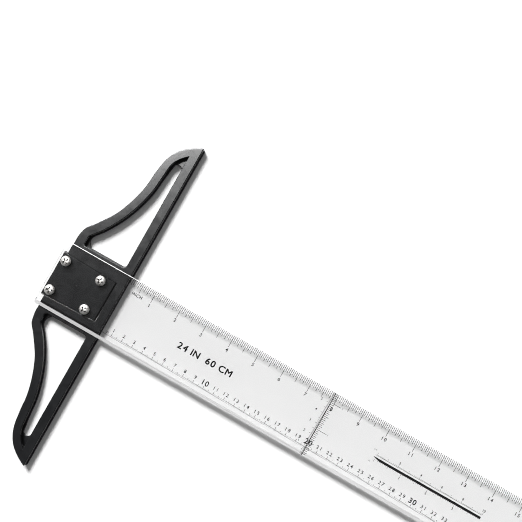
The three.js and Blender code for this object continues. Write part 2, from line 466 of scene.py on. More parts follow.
def moulded_abs(name, hex_colour, roughness, grain_mm, grain_depth_mm, sink_depth_mm):
    """Injection-moulded ABS: near-black and satin, with the fine grain of an eroded mould.

    Slow sink marks over the thick places make its broad highlight waver, and the skin is a little
    glossier where the melt pressed hardest. Real grain is finer: it is as coarse here as it has to
    be to show.
    """
    material, tree, place = new_material(name)
    grain = add_node(tree, "ShaderNodeTexNoise",
                     {"Scale": per_metre(grain_mm), "Detail": 3.0, "Roughness": 0.6}, {"Vector": place})
    sink = add_node(tree, "ShaderNodeTexNoise",
                    {"Scale": per_metre(22), "Detail": 1.5, "Roughness": 0.4}, {"Vector": place})
    flow = add_node(tree, "ShaderNodeTexNoise",
                    {"Scale": per_metre(9), "Detail": 4.0, "Roughness": 0.55, "Distortion": 0.8},
                    {"Vector": place})
    shade = add_node(tree, "ShaderNodeValToRGB", links={"Fac": flow.outputs["Fac"]})
    dark, light = shade.color_ramp.elements
    dark.position, light.position = 0.3, 0.75
    base = linear(hex_colour)
    dark.color = tuple(0.86 * c for c in base[:3]) + (1.0,)
    light.color = tuple(1.16 * c for c in base[:3]) + (1.0,)
    gloss = add_node(tree, "ShaderNodeMapRange",
                     {"From Min": 0.3, "From Max": 0.7, "To Min": roughness - 0.035,
                      "To Max": roughness + 0.035}, {"Value": flow.outputs["Fac"]})
    dents = add_node(tree, "ShaderNodeBump",
                     {"Strength": 0.5, "Distance": sink_depth_mm * MM}, {"Height": sink.outputs["Fac"]})
    skin = add_node(tree, "ShaderNodeBump",
                    {"Strength": 0.5, "Distance": grain_depth_mm * MM},
                    {"Height": grain.outputs["Fac"], "Normal": dents.outputs["Normal"]})
    surface = add_node(tree, "ShaderNodeBsdfPrincipled", {"IOR": 1.54, "Metallic": 0.0},
                       {"Base Color": shade.outputs["Color"], "Roughness": gloss.outputs["Result"],
                        "Normal": skin.outputs["Normal"]})
    add_node(tree, "ShaderNodeOutputMaterial", links={"Surface": surface.outputs["BSDF"]})
    return material


def clear_acrylic(name, hex_colour, shadow_hex):
    """Polished cast acrylic: water-clear with a neutral cast, and glossy on both faces.

    Handling leaves a faint haze in its gloss. Lamps shine through it, so what is under it stays lit,
    and soft and mirrored light passes it straight, so no lamp is counted twice.
    """
    material, tree, place = new_material(name)
    haze = add_node(tree, "ShaderNodeTexNoise",
                    {"Scale": per_metre(35), "Detail": 5.0, "Roughness": 0.6}, {"Vector": place})
    gloss = add_node(tree, "ShaderNodeMapRange",
                     {"From Min": 0.35, "From Max": 0.7, "To Min": 0.015, "To Max": 0.05},
                     {"Value": haze.outputs["Fac"]})
    surface = add_node(tree, "ShaderNodeBsdfPrincipled",
                       {"Base Color": linear(hex_colour), "IOR": 1.49, "Transmission Weight": 1.0},
                       {"Roughness": gloss.outputs["Result"]})
    through = add_node(tree, "ShaderNodeBsdfTransparent", {"Color": linear(hex_colour)})
    shadow = add_node(tree, "ShaderNodeBsdfTransparent", {"Color": linear(shadow_hex)})
    ray = add_node(tree, "ShaderNodeLightPath")
    seen = surface.outputs["BSDF"]
    for kind, passed in (("Is Diffuse Ray", through), ("Is Glossy Ray", through),
                         ("Is Shadow Ray", shadow)):
        mix = add_node(tree, "ShaderNodeMixShader",
                       links={0: ray.outputs[kind], 1: seen, 2: passed.outputs["BSDF"]})
        seen = mix.outputs["Shader"]
    add_node(tree, "ShaderNodeOutputMaterial", links={"Surface": seen})
    return material


def ground_acrylic(name, hex_colour, clearness, roughness):
    """Sawn and milled acrylic edge: frosted white, with the cutter's lines running along it."""
    material, tree, place = new_material(name)
    stretch = add_node(tree, "ShaderNodeMapping", {"Scale": (0.01, 1.0, 1.0)}, {"Vector": place})
    lines = add_node(tree, "ShaderNodeTexNoise",
                     {"Scale": per_metre(0.9), "Detail": 2.0, "Roughness": 0.5},
                     {"Vector": stretch.outputs["Vector"]})
    shade = add_node(tree, "ShaderNodeValToRGB", links={"Fac": lines.outputs["Fac"]})
    dark, light = shade.color_ramp.elements
    dark.position, light.position = 0.36, 0.56
    dark.color = tuple(0.8 * c for c in linear(hex_colour)[:3]) + (1.0,)
    light.color = linear(hex_colour)
    grooves = add_node(tree, "ShaderNodeBump", {"Strength": 0.6, "Distance": 0.05 * MM},
                       {"Height": lines.outputs["Fac"]})
    surface = add_node(tree, "ShaderNodeBsdfPrincipled",
                       {"IOR": 1.49, "Transmission Weight": clearness, "Roughness": roughness},
                       {"Base Color": shade.outputs["Color"], "Normal": grooves.outputs["Normal"]})
    add_node(tree, "ShaderNodeOutputMaterial", links={"Surface": surface.outputs["BSDF"]})
    return material


def nickel_plate(name, hex_colour, stain_and_shade_hex):
    """Bright nickel on a cold-headed steel screw: pale and shiny, with pits and darker stains.

    The pits and stains are drawn coarser than real ones, so that they show on so small a head. Called
    with dark colours, it gives the painted shade on the walls of the screws' cross recesses.
    """
    material, tree, place = new_material(name)
    pits = add_node(tree, "ShaderNodeTexNoise",
                    {"Scale": per_metre(0.8), "Detail": 4.0, "Roughness": 0.6}, {"Vector": place})
    waves = add_node(tree, "ShaderNodeTexNoise",
                     {"Scale": per_metre(2.5), "Detail": 1.0}, {"Vector": place})
    gloss = add_node(tree, "ShaderNodeMapRange",
                     {"From Min": 0.35, "From Max": 0.7, "To Min": 0.3, "To Max": 0.46},
                     {"Value": pits.outputs["Fac"]})
    swell = add_node(tree, "ShaderNodeBump", {"Strength": 0.35, "Distance": 0.12 * MM},
                     {"Height": waves.outputs["Fac"]})
    stain = add_node(tree, "ShaderNodeTexNoise",
                     {"Scale": per_metre(1.6), "Detail": 3.0, "Roughness": 0.6}, {"Vector": place})
    shade = add_node(tree, "ShaderNodeValToRGB", links={"Fac": stain.outputs["Fac"]})
    dark, light = shade.color_ramp.elements
    dark.position, light.position = 0.4, 0.52
    dark.color, light.color = linear(stain_and_shade_hex), linear(hex_colour)
    surface = add_node(tree, "ShaderNodeBsdfPrincipled", {"Metallic": 1.0},
                       {"Base Color": shade.outputs["Color"], "Roughness": gloss.outputs["Result"],
                        "Normal": swell.outputs["Normal"]})
    add_node(tree, "ShaderNodeOutputMaterial", links={"Surface": surface.outputs["BSDF"]})
    return material


def screen_ink(name, hex_colour, thin_hex):
    """Screen-printed ink: matt, opaque, and a little thinner where the screen carried less.

    A real screen's mesh is finer than the one drawn, which is coarse enough to show.
    """
    material, tree, place = new_material(name)
    mesh = add_node(tree, "ShaderNodeTexNoise",
                    {"Scale": per_metre(0.5), "Detail": 2.0, "Roughness": 0.6}, {"Vector": place})
    shade = add_node(tree, "ShaderNodeValToRGB", links={"Fac": mesh.outputs["Fac"]})
    shade.color_ramp.elements[0].position = 0.45
    shade.color_ramp.elements[1].position = 0.8
    shade.color_ramp.elements[0].color = linear(hex_colour)
    shade.color_ramp.elements[1].color = linear(thin_hex)
    surface = add_node(tree, "ShaderNodeBsdfPrincipled",
                       {"Roughness": 0.7, "IOR": 1.5, "Specular IOR Level": 0.15},
                       {"Base Color": shade.outputs["Color"]})
    add_node(tree, "ShaderNodeOutputMaterial", links={"Surface": surface.outputs["BSDF"]})
    return material


def matt_paper(name, hex_colour):
    """Seamless studio paper: matt white with a barely visible tooth."""
    material, tree, place = new_material(name)
    tooth = add_node(tree, "ShaderNodeTexNoise", {"Scale": per_metre(1.5), "Detail": 2.0},
                     {"Vector": place})
    bump = add_node(tree, "ShaderNodeBump", {"Strength": 0.05, "Distance": 0.05 * MM},
                    {"Height": tooth.outputs["Fac"]})
    surface = add_node(tree, "ShaderNodeBsdfPrincipled",
                       {"Base Color": linear(hex_colour), "Roughness": 0.9, "Specular IOR Level": 0.2},
                       {"Normal": bump.outputs["Normal"]})
    add_node(tree, "ShaderNodeOutputMaterial", links={"Surface": surface.outputs["BSDF"]})
    return material


# ---------------------------------------------------------------- settings a user would change
class TSquareHeadSettings(bpy.types.PropertyGroup):
    """Finish of the moulded head and its slide plate."""
    edge_radius: FloatProperty(
        name="Edge radius", description="Rounding of the head's upper edges",
        default=0.7 * MM, min=0.1 * MM, max=1.5 * MM, precision=5, unit="LENGTH", subtype="DISTANCE")
    flange_radius: FloatProperty(
        name="Flange radius", description="Rounding of the base flange's edges",
        default=0.35 * MM, min=0.05 * MM, max=0.9 * MM, precision=5, unit="LENGTH", subtype="DISTANCE")
    mark_depth: FloatProperty(
        name="Mark depth", description="Depth of the round marks left by the ejector pins",
        default=0.12 * MM, min=0.02 * MM, max=0.5 * MM, precision=5, unit="LENGTH", subtype="DISTANCE")
    colour: StringProperty(
        name="Colour", description="sRGB hex colour of the moulded plastic", default="#161719")
    roughness: FloatProperty(
        name="Roughness", description="Roughness of the moulded skin", default=0.24, min=0.0, max=1.0,
        subtype="FACTOR")


class TSquareBladeSettings(bpy.types.PropertyGroup):
    """Shape and finish of the acrylic blade."""
    arris: FloatProperty(
        name="Arris", description="Width of the small chamfer on every edge",
        default=0.2 * MM, min=0.05 * MM, max=0.5 * MM, precision=5, unit="LENGTH", subtype="DISTANCE")
    corner_radius: FloatProperty(
        name="Corner radius", description="Rounding of the blade's four corners in plan",
        default=2.0 * MM, min=0.5 * MM, max=8 * MM, precision=5, unit="LENGTH", subtype="DISTANCE")
    hang_hole_radius: FloatProperty(
        name="Hanging hole radius", description="Radius of the hole near the free end",
        default=4.0 * MM, min=1 * MM, max=6 * MM, precision=5, unit="LENGTH", subtype="DISTANCE")
    colour: StringProperty(
        name="Colour", description="sRGB hex tint of the clear sheet", default="#fbfbfb")


class TSquareScrewSettings(bpy.types.PropertyGroup):
    """Shape of the four pan-head screws."""
    thread_pitch: FloatProperty(
        name="Thread pitch", description="Distance between turns of the thread",
        default=1.4 * MM, min=0.5 * MM, max=3 * MM, precision=5, unit="LENGTH", subtype="DISTANCE")
    thread_depth: FloatProperty(
        name="Thread depth", description="Height of the thread above its root",
        default=0.45 * MM, min=0.1 * MM, max=1 * MM, precision=5, unit="LENGTH", subtype="DISTANCE")
    sides: IntProperty(
        name="Sides", description="Points around the screw", default=64, min=24, max=128)


class TSquareInkSettings(bpy.types.PropertyGroup):
    """Printed scales and legend."""
    thickness: FloatProperty(
        name="Ink thickness", description="Thickness of the printed film",
        default=0.03 * MM, min=0.01 * MM, max=0.1 * MM, precision=6, unit="LENGTH", subtype="DISTANCE")
    inch_line: FloatProperty(
        name="Inch line", description="Width of the inch scale's lines",
        default=0.38 * MM, min=0.05 * MM, max=0.6 * MM, precision=5, unit="LENGTH", subtype="DISTANCE")
    metric_line: FloatProperty(
        name="Metric line", description="Width of the millimetre lines",
        default=0.28 * MM, min=0.05 * MM, max=0.6 * MM, precision=5, unit="LENGTH", subtype="DISTANCE")
    legend: StringProperty(
        name="Legend", description="Generic size legend on the blade", default="24 IN  60 CM")


class TSquareStudioSettings(bpy.types.PropertyGroup):
    """Camera and light."""
    view_turn: FloatProperty(
        name="View turn", description="Turn of the camera about the vertical",
        default=math.radians(29.422), unit="ROTATION", subtype="ANGLE")
    view_tilt: FloatProperty(
        name="View tilt", description="Tilt of the camera off the vertical",
        default=math.radians(2.8), unit="ROTATION", subtype="ANGLE")
    distance: FloatProperty(
        name="Camera distance", description="From the camera to the blade",
        default=0.8, min=0.1, unit="LENGTH", subtype="DISTANCE")
    field: FloatProperty(
        name="Field", description="Width of what the camera takes in at the blade",
        default=0.44362, min=0.05, unit="LENGTH", subtype="DISTANCE")
    frame_shift: FloatVectorProperty(
        name="Frame shift", description="Sideways and upward shift of the lens, as a share of the width",
        default=(-0.05, 0.08), size=2, min=-0.2, max=0.2)
    key_strength: FloatProperty(
        name="Key light", description="Strength of the distant softbox, in watts per square metre",
        default=4.1, min=0.0)
    sheen_power: FloatProperty(
        name="Sheen light", description="Power in watts of the softbox that only shows as a sheen",
        default=20.0, min=0.0)
    key_width: FloatProperty(
        name="Key width", description="Angle the softbox takes up; a smaller one gives crisper shadows",
        default=math.radians(17), min=math.radians(1), unit="ROTATION", subtype="ANGLE")
    ambient: FloatProperty(
        name="Ambient", description="Strength of the light from all round", default=0.37, min=0.0)


# ---------------------------------------------------------------- head
def dovetail_plan(back, front, half_back, half_front):
    """Plan of a tapered dovetail at one height: its two ends in x and its half width at each."""
    return [(back, -half_back), (front, -half_front), (front, half_front), (back, half_back)]


def plate_half_width(x):
    """Half width of the slide plate's top at x."""
    taper = (PLATE_HALF_WIDTH_BACK - PLATE_HALF_WIDTH_FRONT) / (PLATE_HIGH.x - PLATE_LOW.x)
    return PLATE_HALF_WIDTH_FRONT + taper * (PLATE_HIGH.x - x)


def recess_cutter():
    """What the dovetail recess takes out of the head, with a lip worn round along its mouth."""
    floor, top = HEAD_HIGH.z - RECESS_DEPTH, HEAD_HIGH.z
    flare = DOVETAIL_FLARE / (PLATE_HIGH.z - PLATE_LOW.z)
    back = HEAD_LOW.x - 6 * PAST_FACE
    lip, knee, draft = RECESS_LIP, 0.06, 0.02
    half_back = plate_half_width(back) + RECESS_CLEARANCE
    half_front = plate_half_width(RECESS_FRONT) + RECESS_CLEARANCE
    levels = []
    for z, grow, step in ((floor, flare * (PLATE_HIGH.z - floor), 0.0), (top - lip, draft, 0.0),
                          (top - knee, knee, knee), (top, lip, lip), (top + PAST_FACE, lip, lip)):
        plan = dovetail_plan(back, RECESS_FRONT + step, half_back + grow, half_front + grow)
        levels.append((plan, z))
    return lofted(levels)


def ejector_marks():
    """Places and radii of the ejector-pin marks on the top of the head."""
    marks = []
    for side in (1, -1):
        marks += [(-7.5, 147 * side, 2.6), (-52.6, 38.5 * side, 2.6), (-4.8, 36 * side, 2.6),
                  (-24.2, 110 * side, 1.9), (-4.8, 92 * side, 2.6)]
    return marks


class OBJECT_OT_tsquare_head(bpy.types.Operator):
    """Build the moulded head with its flange, hand windows, dovetail recess and pin marks"""
    bl_idname = "object.tsquare_head"
    bl_label = "Moulded head"

    def execute(self, context):
        settings = context.scene.tsquare_head
        edge = settings.edge_radius / MM
        flange_edge = settings.flange_radius / MM
        window = body_window()
        opening = flange_window()
        body = slab(head_outline(0, BODY_TIP_RADIUS), [window, mirrored(window)],
                    rounded_profile(HEAD_LOW.z + BODY_SUNK, HEAD_HIGH.z, 0, edge))
        flange = slab(head_outline(FLANGE_PROUD, FLANGE_TIP_RADIUS), [opening, mirrored(opening)],
                      rounded_profile(HEAD_LOW.z, FLANGE_TOP, flange_edge, flange_edge))
        piece = new_piece("moulded_head", body)
        combine(piece, flange, "UNION")
        combine(piece, recess_cutter(), "DIFFERENCE")
        depth = settings.mark_depth / MM
        for x, y, radius in ejector_marks():
            mark = [(radius, HEAD_HIGH.z - depth), (radius, HEAD_HIGH.z + PAST_FACE)]
            combine(piece, turned(mark, 40, x, y), "DIFFERENCE")
        finish_surface(piece)
        material = moulded_abs("abs_black_satin_moulded", settings.colour, settings.roughness,
                               grain_mm=0.45, grain_depth_mm=0.012, sink_depth_mm=0.05)
        settle(piece, HEAD_BODY, "head_plastic", material, "head")
        return {"FINISHED"}


# ---------------------------------------------------------------- slide plate
def gate_ring(x, y, radius, width, top):
    """A ring-shaped cutter for a shallow V groove, which stands a little above the top."""
    shape = bmesh.new()
    rim = top + 0.3
    rings = []
    for r, z in ((radius, top - GATE_GROOVE_DEPTH), (radius + width, rim), (radius - width, rim)):
        rings.append([shape.verts.new((p.x, p.y, z)) for p in arc(x, y, r, 0, 360, 48)[:-1]])
    for i, ring in enumerate(rings):
        join_rings(shape, ring, rings[(i + 1) % len(rings)])
    bmesh.ops.recalc_face_normals(shape, faces=shape.faces)
    return shape


class OBJECT_OT_tsquare_plate(bpy.types.Operator):
    """Build the dovetail slide plate with its gate mark and blind screw holes"""
    bl_idname = "object.tsquare_plate"
    bl_label = "Slide plate"

    def execute(self, context):
        settings = context.scene.tsquare_head
        back, front = PLATE_LOW.x, PLATE_HIGH.x
        half_back, half_front = plate_half_width(back), plate_half_width(front)
        round_off, knee, draft = PLATE_ROUND_OFF, 0.14, 0.1
        levels = []
        for z, flare, pull in ((PLATE_LOW.z, DOVETAIL_FLARE, round_off),
                               (PLATE_LOW.z + round_off, DOVETAIL_FLARE, 0.0),
                               (PLATE_HIGH.z - round_off, draft, 0.0),
                               (PLATE_HIGH.z - knee, 0.0, knee), (PLATE_HIGH.z, 0.0, round_off)):
            plan = dovetail_plan(back + pull, front - pull,
                                 half_back + flare - pull, half_front + flare - pull)
            levels.append((plan, z))
        piece = new_piece("dovetail_plate", lofted(levels))
        gate_x, gate_y = (back + front) / 2 - 2.5, 0.8
        for radius, width in GATE_RINGS:
            groove = gate_ring(gate_x, gate_y, radius, width, PLATE_HIGH.z)
            combine(piece, groove, "DIFFERENCE")
        pip = turned(raised(GATE_PIP, PLATE_HIGH.z), 24, gate_x - 0.3, gate_y - 0.4)
        combine(piece, pip, "DIFFERENCE")
        hole = [(HOLE_RADIUS, PLATE_LOW.z + HOLE_FLOOR_THICKNESS),
                (HOLE_RADIUS, PLATE_HIGH.z + PAST_FACE)]
        for x, y in screw_places():
            combine(piece, turned(hole, 40, x, y), "DIFFERENCE")
        finish_surface(piece)
        # The plate took a little more gloss from its mould than the head did.
        material = moulded_abs("abs_black_satin_plate", settings.colour, settings.roughness - 0.03,
                               grain_mm=0.35, grain_depth_mm=0.01, sink_depth_mm=0.03)
        settle(piece, BLADE_BODY, "plate_plastic", material, "slide_plate")
        return {"FINISHED"}


# ---------------------------------------------------------------- screws
def screw_places():
    """Centres of the four screws, from their nodes."""
    places = []
    for node in SCREW_NODES:
        low, high = box_mm(node)
        places.append(((low.x + high.x) / 2, (low.y + high.y) / 2))
    return places


def screw_shape(settings, bottom, top):
    """A pan-head screw about the origin, with its thread, from its tip to the top of its dome."""
    seat = top - SCREW_HEAD_HEIGHT
    pitch, depth = settings.thread_pitch / MM, settings.thread_depth / MM
    root = SHANK_RADIUS - depth
    shape = bmesh.new()
    rings = []

    def ring(z, radius_at):
        verts = []
        for k in range(settings.sides):
            angle = 2 * math.pi * k / settings.sides
            radius = radius_at(angle)
            verts.append(shape.verts.new((radius * math.cos(angle), radius * math.sin(angle), z)))
        rings.append(verts)

    steps_a_turn, tip_share, half_crest = 10, 0.12, 0.32
    steps = int((seat - bottom) / pitch * steps_a_turn)
    for k in range(steps + 1):
        z = bottom + (seat - bottom) * k / steps
        run_in = min(1.0, tip_share + (z - bottom) / SCREW_POINT_LENGTH)
        run_out = min(1.0, max(0.0, (seat - z) / THREAD_RUN_OUT))

        def thread(angle, z=z, run_in=run_in, run_out=run_out):
            phase = (z / pitch - angle / (2 * math.pi)) % 1
            crest = max(0.0, 1 - abs(phase - 0.5) / half_crest)
            return (root + depth * crest * run_out) * run_in
        ring(z, thread)
    outline = [(SCREW_HEAD_RADIUS - SCREW_HEAD_RIM, seat), (SCREW_HEAD_RADIUS, seat + SCREW_HEAD_RIM)]
    side_share, fullness, dome_steps, dome_reach = 0.36, 0.8, 12, 0.97
    for k in range(dome_steps + 1):
        turn = math.pi / 2 * k / dome_steps * dome_reach
        outline.append((SCREW_HEAD_RADIUS * math.cos(turn) ** fullness,
                        seat + SCREW_HEAD_HEIGHT * (side_share + (1 - side_share) * math.sin(turn))))
    for radius, z in outline:
        ring(min(z, top), lambda angle, radius=radius: radius)
    for low, high in zip(rings, rings[1:]):
        join_rings(shape, low, high)
    shape.faces.new(reversed(rings[0]))
    shape.faces.new(rings[-1])
    bmesh.ops.recalc_face_normals(shape, faces=shape.faces)
    return shape


def cross_arm(top, turn):
    """One tapered arm of the cross recess in the screw's head."""
    shape = bmesh.new()
    rotation = Matrix.Rotation(turn, 4, "Z")
    for half_length, half_width, height in CROSS_ARM:
        for x in (-half_length, half_length):
            for y in (-half_width, half_width):
                shape.verts.new(rotation @ Vector((x, y, top + height)))
    bmesh.ops.convex_hull(shape, input=shape.verts)
    return shape


def in_cross_recess(face, centre, top):
    """Whether a face of a screw is one of the walls of its cross recess."""
    reach = (face.center - centre).to_2d().length / MM
    depth = top - face.center.z / MM
    return reach < 3.0 and 0.2 < depth < 2.0 and abs(face.normal.z) < 0.95


class OBJECT_OT_tsquare_screws(bpy.types.Operator):
    """Build the four nickel-plated pan-head screws with a cross recess"""
    bl_idname = "object.tsquare_screws"
    bl_label = "Screws"

    def execute(self, context):
        settings = context.scene.tsquare_screws
        plated = nickel_plate("nickel_plated_steel", "#efedea", "#a3a09b")
        # A dark copy of the nickel: painted shade for the walls of the cross recess, where shade falls.
        recess_painted_shade = nickel_plate("nickel_painted_shade_in_recess", "#5b5956", "#2e2d2b")
        for node, (x, y), degrees in zip(SCREW_NODES, screw_places(), DRIVER_TURNS):
            low, high = box_mm(node)
            piece = new_piece("pan_" + node, screw_shape(settings, low.z, high.z))
            for quarter in (0.0, math.pi / 2):
                combine(piece, cross_arm(high.z, math.radians(degrees) + quarter), "DIFFERENCE")
            combine(piece, turned(raised(RECESS_CUP, high.z), 24), "DIFFERENCE")
            centre = Vector((x, y, 0)) * MM
            piece.data.transform(Matrix.Translation(centre))
            finish_surface(piece, 40)
            settle(piece, BLADE_BODY, "screw_steel", plated, node)
            piece.data.materials.append(recess_painted_shade)
            # The walls of the cross recess take the dark copy: painted shade.
            for face in piece.data.polygons:
                if in_cross_recess(face, centre, high.z):
                    face.material_index = 1
        return {"FINISHED"}


# ---------------------------------------------------------------- blade
def blade_section():
    """Cross-section (y, z) that gives the blade its two sloping edges.

    It stands clear of the blade over, below and beside it, and meets it only on the slopes.
    """
    slope = BEVEL_DROP / BEVEL_WIDTH
    over, below, beside = 1.6, 2.0, 3.0
    inner = BLADE_HALF_WIDTH - BEVEL_WIDTH
    outer = BLADE_HALF_WIDTH + beside
    peak_y, peak_z = inner - over / slope, BLADE_HIGH.z + over
    outer_z = BLADE_HIGH.z - slope * (outer - inner)
    return [(-outer, BLADE_LOW.z - below), (outer, BLADE_LOW.z - below), (outer, outer_z),
            (peak_y, peak_z), (-peak_y, peak_z), (-outer, outer_z)]


def blade_top(y):
    """Height of the blade's upper surface at y."""
    past = max(0.0, abs(y) - (BLADE_HALF_WIDTH - BEVEL_WIDTH))
    return BLADE_HIGH.z - past * BEVEL_DROP / BEVEL_WIDTH


def hole_cutter(x, y, radius, lip):
    """A drilled hole through the blade, with both ends eased."""
    past = 0.5
    profile = [(radius + lip + past, BLADE_LOW.z - past), (radius, BLADE_LOW.z + lip),
               (radius, BLADE_HIGH.z - lip), (radius + lip + past, BLADE_HIGH.z + past)]
    return turned(profile, 64, x, y)


def split_along(piece, y):
    """Adds an edge loop round the piece at y, so faces beside it can have their own material."""
    shape = bmesh.new()
    shape.from_mesh(piece.data)
    bmesh.ops.bisect_plane(shape, geom=[*shape.verts, *shape.edges, *shape.faces],
                           plane_co=(0, y * MM, 0), plane_no=(0, 1, 0))
    shape.to_mesh(piece.data)
    shape.free()


class OBJECT_OT_tsquare_blade(bpy.types.Operator):
    """Build the clear blade with sloping edges, drilled holes and a hanging hole"""
    bl_idname = "object.tsquare_blade"
    bl_label = "Acrylic blade"

    def execute(self, context):
        settings = context.scene.tsquare_blade
        lip = settings.arris / MM
        radius = settings.corner_radius / MM
        left, right = BLADE_LOW.x + radius, BLADE_HIGH.x - radius
        low, high = BLADE_LOW.y + radius, BLADE_HIGH.y - radius
        plan = []
        for x, y, start in ((right, high, 0), (left, high, 90), (left, low, 180), (right, low, 270)):
            plan += arc(x, y, radius, start, start + 90, 8)
        profile = [(lip, BLADE_LOW.z), (0.0, BLADE_LOW.z + lip), (0.0, BLADE_HIGH.z - lip),
                   (lip, BLADE_HIGH.z)]
        piece = new_piece("acrylic_blade", slab(closed(plan), [], profile))
        section = blade_section()
        bar = bmesh.new()
        ends = []
        for x in (BLADE_LOW.x - 5 * PAST_FACE, BLADE_HIGH.x + 5 * PAST_FACE):
            ends.append([bar.verts.new((x, y, z)) for y, z in section])
        join_rings(bar, ends[0], ends[1])
        bar.faces.new(ends[0])
        bar.faces.new(reversed(ends[1]))
        bmesh.ops.recalc_face_normals(bar, faces=bar.faces)
        combine(piece, bar, "INTERSECT")
        for x, y in screw_places():
            combine(piece, hole_cutter(x, y, HOLE_RADIUS, lip), "DIFFERENCE")
        combine(piece, hole_cutter(HANG_HOLE_X, 0, settings.hang_hole_radius / MM, lip), "DIFFERENCE")
        split_along(piece, EDGE_STRIP)
        split_along(piece, SCRAPED_STRIP)
        finish_surface(piece, 20)
        clear = clear_acrylic("cast_acrylic_polished", settings.colour, "#f3f3f3")
        settle(piece, BLADE_BODY, "blade_acrylic", clear, "blade")
        for material in (ground_acrylic("acrylic_ground_edge", "#fbfbfb", 0.12, 0.42),
                         clear_acrylic("cast_acrylic_buffed", "#f7f7f7", "#f4f4f4"),
                         clear_acrylic("cast_acrylic_beside_ground_edge", settings.colour, "#000000")):
            piece.data.materials.append(material)
        for face in piece.data.polygons:
            flat = abs(face.normal.z) > 0.97
            if face.center.y < EDGE_STRIP * MM:
                face.material_index = BESIDE_GROUND if flat else GROUND
            elif not flat:
                face.material_index = GROUND if face.center.y > SCRAPED_STRIP * MM else BUFFED
        return {"FINISHED"}


# ---------------------------------------------------------------- printed scales
class InkSheet:
    """Collects printed lines and characters, as a thin film on the blade's upper surface."""

    def __init__(self, thickness):
        self.shape = bmesh.new()
        self.thickness = thickness
        self.glyphs = {}

    def block(self, x0, x1, y0, y1):
        """A solid line over a rectangle, which follows the sloping edge of the blade."""
        crease = BLADE_HALF_WIDTH - BEVEL_WIDTH
        stops = sorted({y0, y1} | {c for c in (-crease, crease) if y0 < c < y1})
        rings = []
        for y in stops:
            low = blade_top(y) + INK_GAP
            high = low + self.thickness
            rings.append([self.shape.verts.new(corner) for corner in
                          ((x0, y, low), (x1, y, low), (x1, y, high), (x0, y, high))])
        for near, far in zip(rings, rings[1:]):
            join_rings(self.shape, near, far, True)
        self.shape.faces.new(rings[0])
        self.shape.faces.new(reversed(rings[-1]))

    def upright(self, x, width, y0, y1):
        """A line across the blade, centred on x."""
        self.block(x - width / 2, x + width / 2, min(y0, y1), max(y0, y1))

    def level(self, y, width, x0, x1):
        """A line along the blade, centred on y."""
        self.block(min(x0, x1), max(x0, x1), y - width / 2, y + width / 2)

    def glyph(self, character, weight):
        """The mesh of one character of Blender's own font, one unit high to the top of a digit."""
        if (character, weight) not in self.glyphs:
            curve = bpy.data.curves.new("glyph", "FONT")
            curve.body = character
            curve.offset = weight
            curve.extrude = 0.5
            curve.resolution_u = 4
            holder = bpy.data.objects.new("glyph", curve)
            bpy.context.scene.collection.objects.link(holder)
            bpy.context.view_layer.update()
            view = bpy.context.evaluated_depsgraph_get()
            mesh = bpy.data.meshes.new_from_object(holder.evaluated_get(view))
            bpy.data.objects.remove(holder)
            bpy.data.curves.remove(curve)
            self.glyphs[character, weight] = mesh
        return self.glyphs[character, weight]

    def text(self, words, x, y, height, pitch=0.0, weight=0.0, stretch=1.0):
        """Characters centred on x, y. Pitch is the step between characters, or 0 for their own."""
        cap_height, word_gap, letter_gap = 0.69, 0.32, 0.16
        scale = height / cap_height
        meshes = []
        cursor = 0.0
        for i, character in enumerate(words):
            if character == " ":
                cursor += word_gap * scale * stretch
                continue
            mesh = self.glyph(character, weight)
            xs = [v.co.x for v in mesh.vertices]
            left, right = min(xs) * scale * stretch, max(xs) * scale * stretch
            if pitch:
                start = i * pitch - (left + right) / 2
            else:
                start = cursor - left
                cursor += right - left + letter_gap * scale * stretch
            meshes.append((mesh, start, start + left, start + right))
        middle = (min(m[2] for m in meshes) + max(m[3] for m in meshes)) / 2
        for mesh, start, _, _ in meshes:
            low = BLADE_HIGH.z + INK_GAP + self.thickness / 2
            place = Matrix.Translation((x + start - middle, y - height / 2, low))
            size = Matrix.Diagonal((scale * stretch, scale, self.thickness, 1))
            before = len(self.shape.verts)
            self.shape.from_mesh(mesh)
            self.shape.verts.ensure_lookup_table()
            fresh = self.shape.verts[before:]
            bmesh.ops.transform(self.shape, matrix=place @ size, verts=fresh)

    def finish(self, name, material):
        """Makes the piece and lets it ride on the blade."""
        bmesh.ops.remove_doubles(self.shape, verts=self.shape.verts, dist=0.002)
        bmesh.ops.recalc_face_normals(self.shape, faces=self.shape.faces)
        piece = new_piece(name, self.shape)
        for mesh in self.glyphs.values():
            bpy.data.meshes.remove(mesh)
        settle(piece, BLADE_BODY, "scale_ink", material)
        piece.visible_shadow = False


def graduation(n, lengths):
    """What the lengths give for graduation n. They list (every, length), the most frequent first."""
    return [length for every, length in lengths if n % every == 0][-1]


def inch_scale(sheet, line):
    """Sixteenths along the inch edge, with a numeral under each inch."""
    edge = BLADE_HALF_WIDTH - 0.15
    feet = ((1, 24.8), (2, 23.9), (4, 23.0), (8, 20.8), (16, 18.7))
    for n in range(1, SCALE_INCHES * 16 + 1):
        width = line if n % 16 else line * 1.1
        sheet.upright(n * INCH / 16, width, graduation(n, feet), edge)
    for inch in range(1, SCALE_INCHES + 1):
        sheet.text(str(inch), inch * INCH, 16.2, height=3.0, pitch=2.9, weight=0.016)
    sheet.text("INCH", 12.3, 18.4, height=2.6, weight=0.016)


def metric_scale(sheet, line):
    """Millimetres just inside the plain edge, with a numeral under each centimetre."""
    foot = -23.5
    tops = ((1, -21.9), (5, -20.9), (10, -20.0))
    for n in range(1, SCALE_CENTIMETRES * 10 + 1):
        width = line if n % 10 else line * 1.3
        sheet.upright(n, width, foot, graduation(n, tops))
    for centimetre in range(1, SCALE_CENTIMETRES + 1):
        x = centimetre * 10
        if centimetre % 10:
            sheet.text(str(centimetre), x, -17.2, height=2.9, pitch=3.1, weight=0.016)
        else:
            sheet.text(str(centimetre), x, -17.4, height=4.4, pitch=3.7, weight=0.022)
    sheet.text("cm", 5.6, -20.6, height=1.8)


